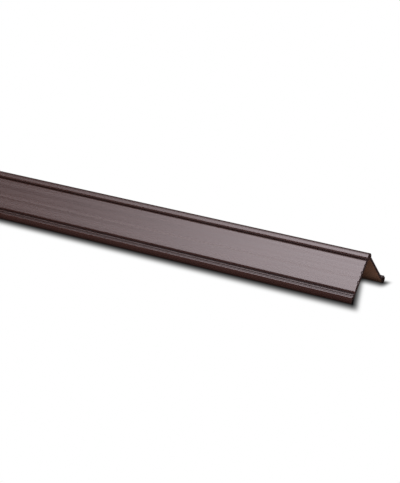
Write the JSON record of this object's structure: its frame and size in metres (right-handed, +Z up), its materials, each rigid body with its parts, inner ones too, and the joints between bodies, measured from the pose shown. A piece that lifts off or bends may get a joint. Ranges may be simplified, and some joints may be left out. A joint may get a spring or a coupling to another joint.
{
  "type": "door sweep",
  "caption": "L-shaped dark bronze carrier bar for a door's bottom corner, with a slide-in vinyl sweep blade under the door.",
  "frame": {"origin": "middle of the sweep's footprint, on the surface that the bar's two feet rest on", "axes": "+X along the bar, -Y the side of the face leg, +Y the side of the under leg and its seal, +Z up towards the corner bead"},
  "size_m": [0.9144, 0.0568, 0.0287],
  "materials": {
    "bronze_aluminium": "satin dark bronze anodised",
    "dark_vinyl": "matte dark brown flexible vinyl",
    "bronze_steel": "dark bronze plated"
  },
  "bodies": {
    "bar": {"carrier_angle": "bronze_aluminium", "fixing_screws": "bronze_steel"},
    "seal": {"seal_blade": "dark_vinyl"}
  },
  "joints": [
    {"name": "seal_slide", "type": "slide", "parent": "bar", "child": "seal", "axis": [1, 0, 0], "range_m": [0, 0.9]}
  ]
}
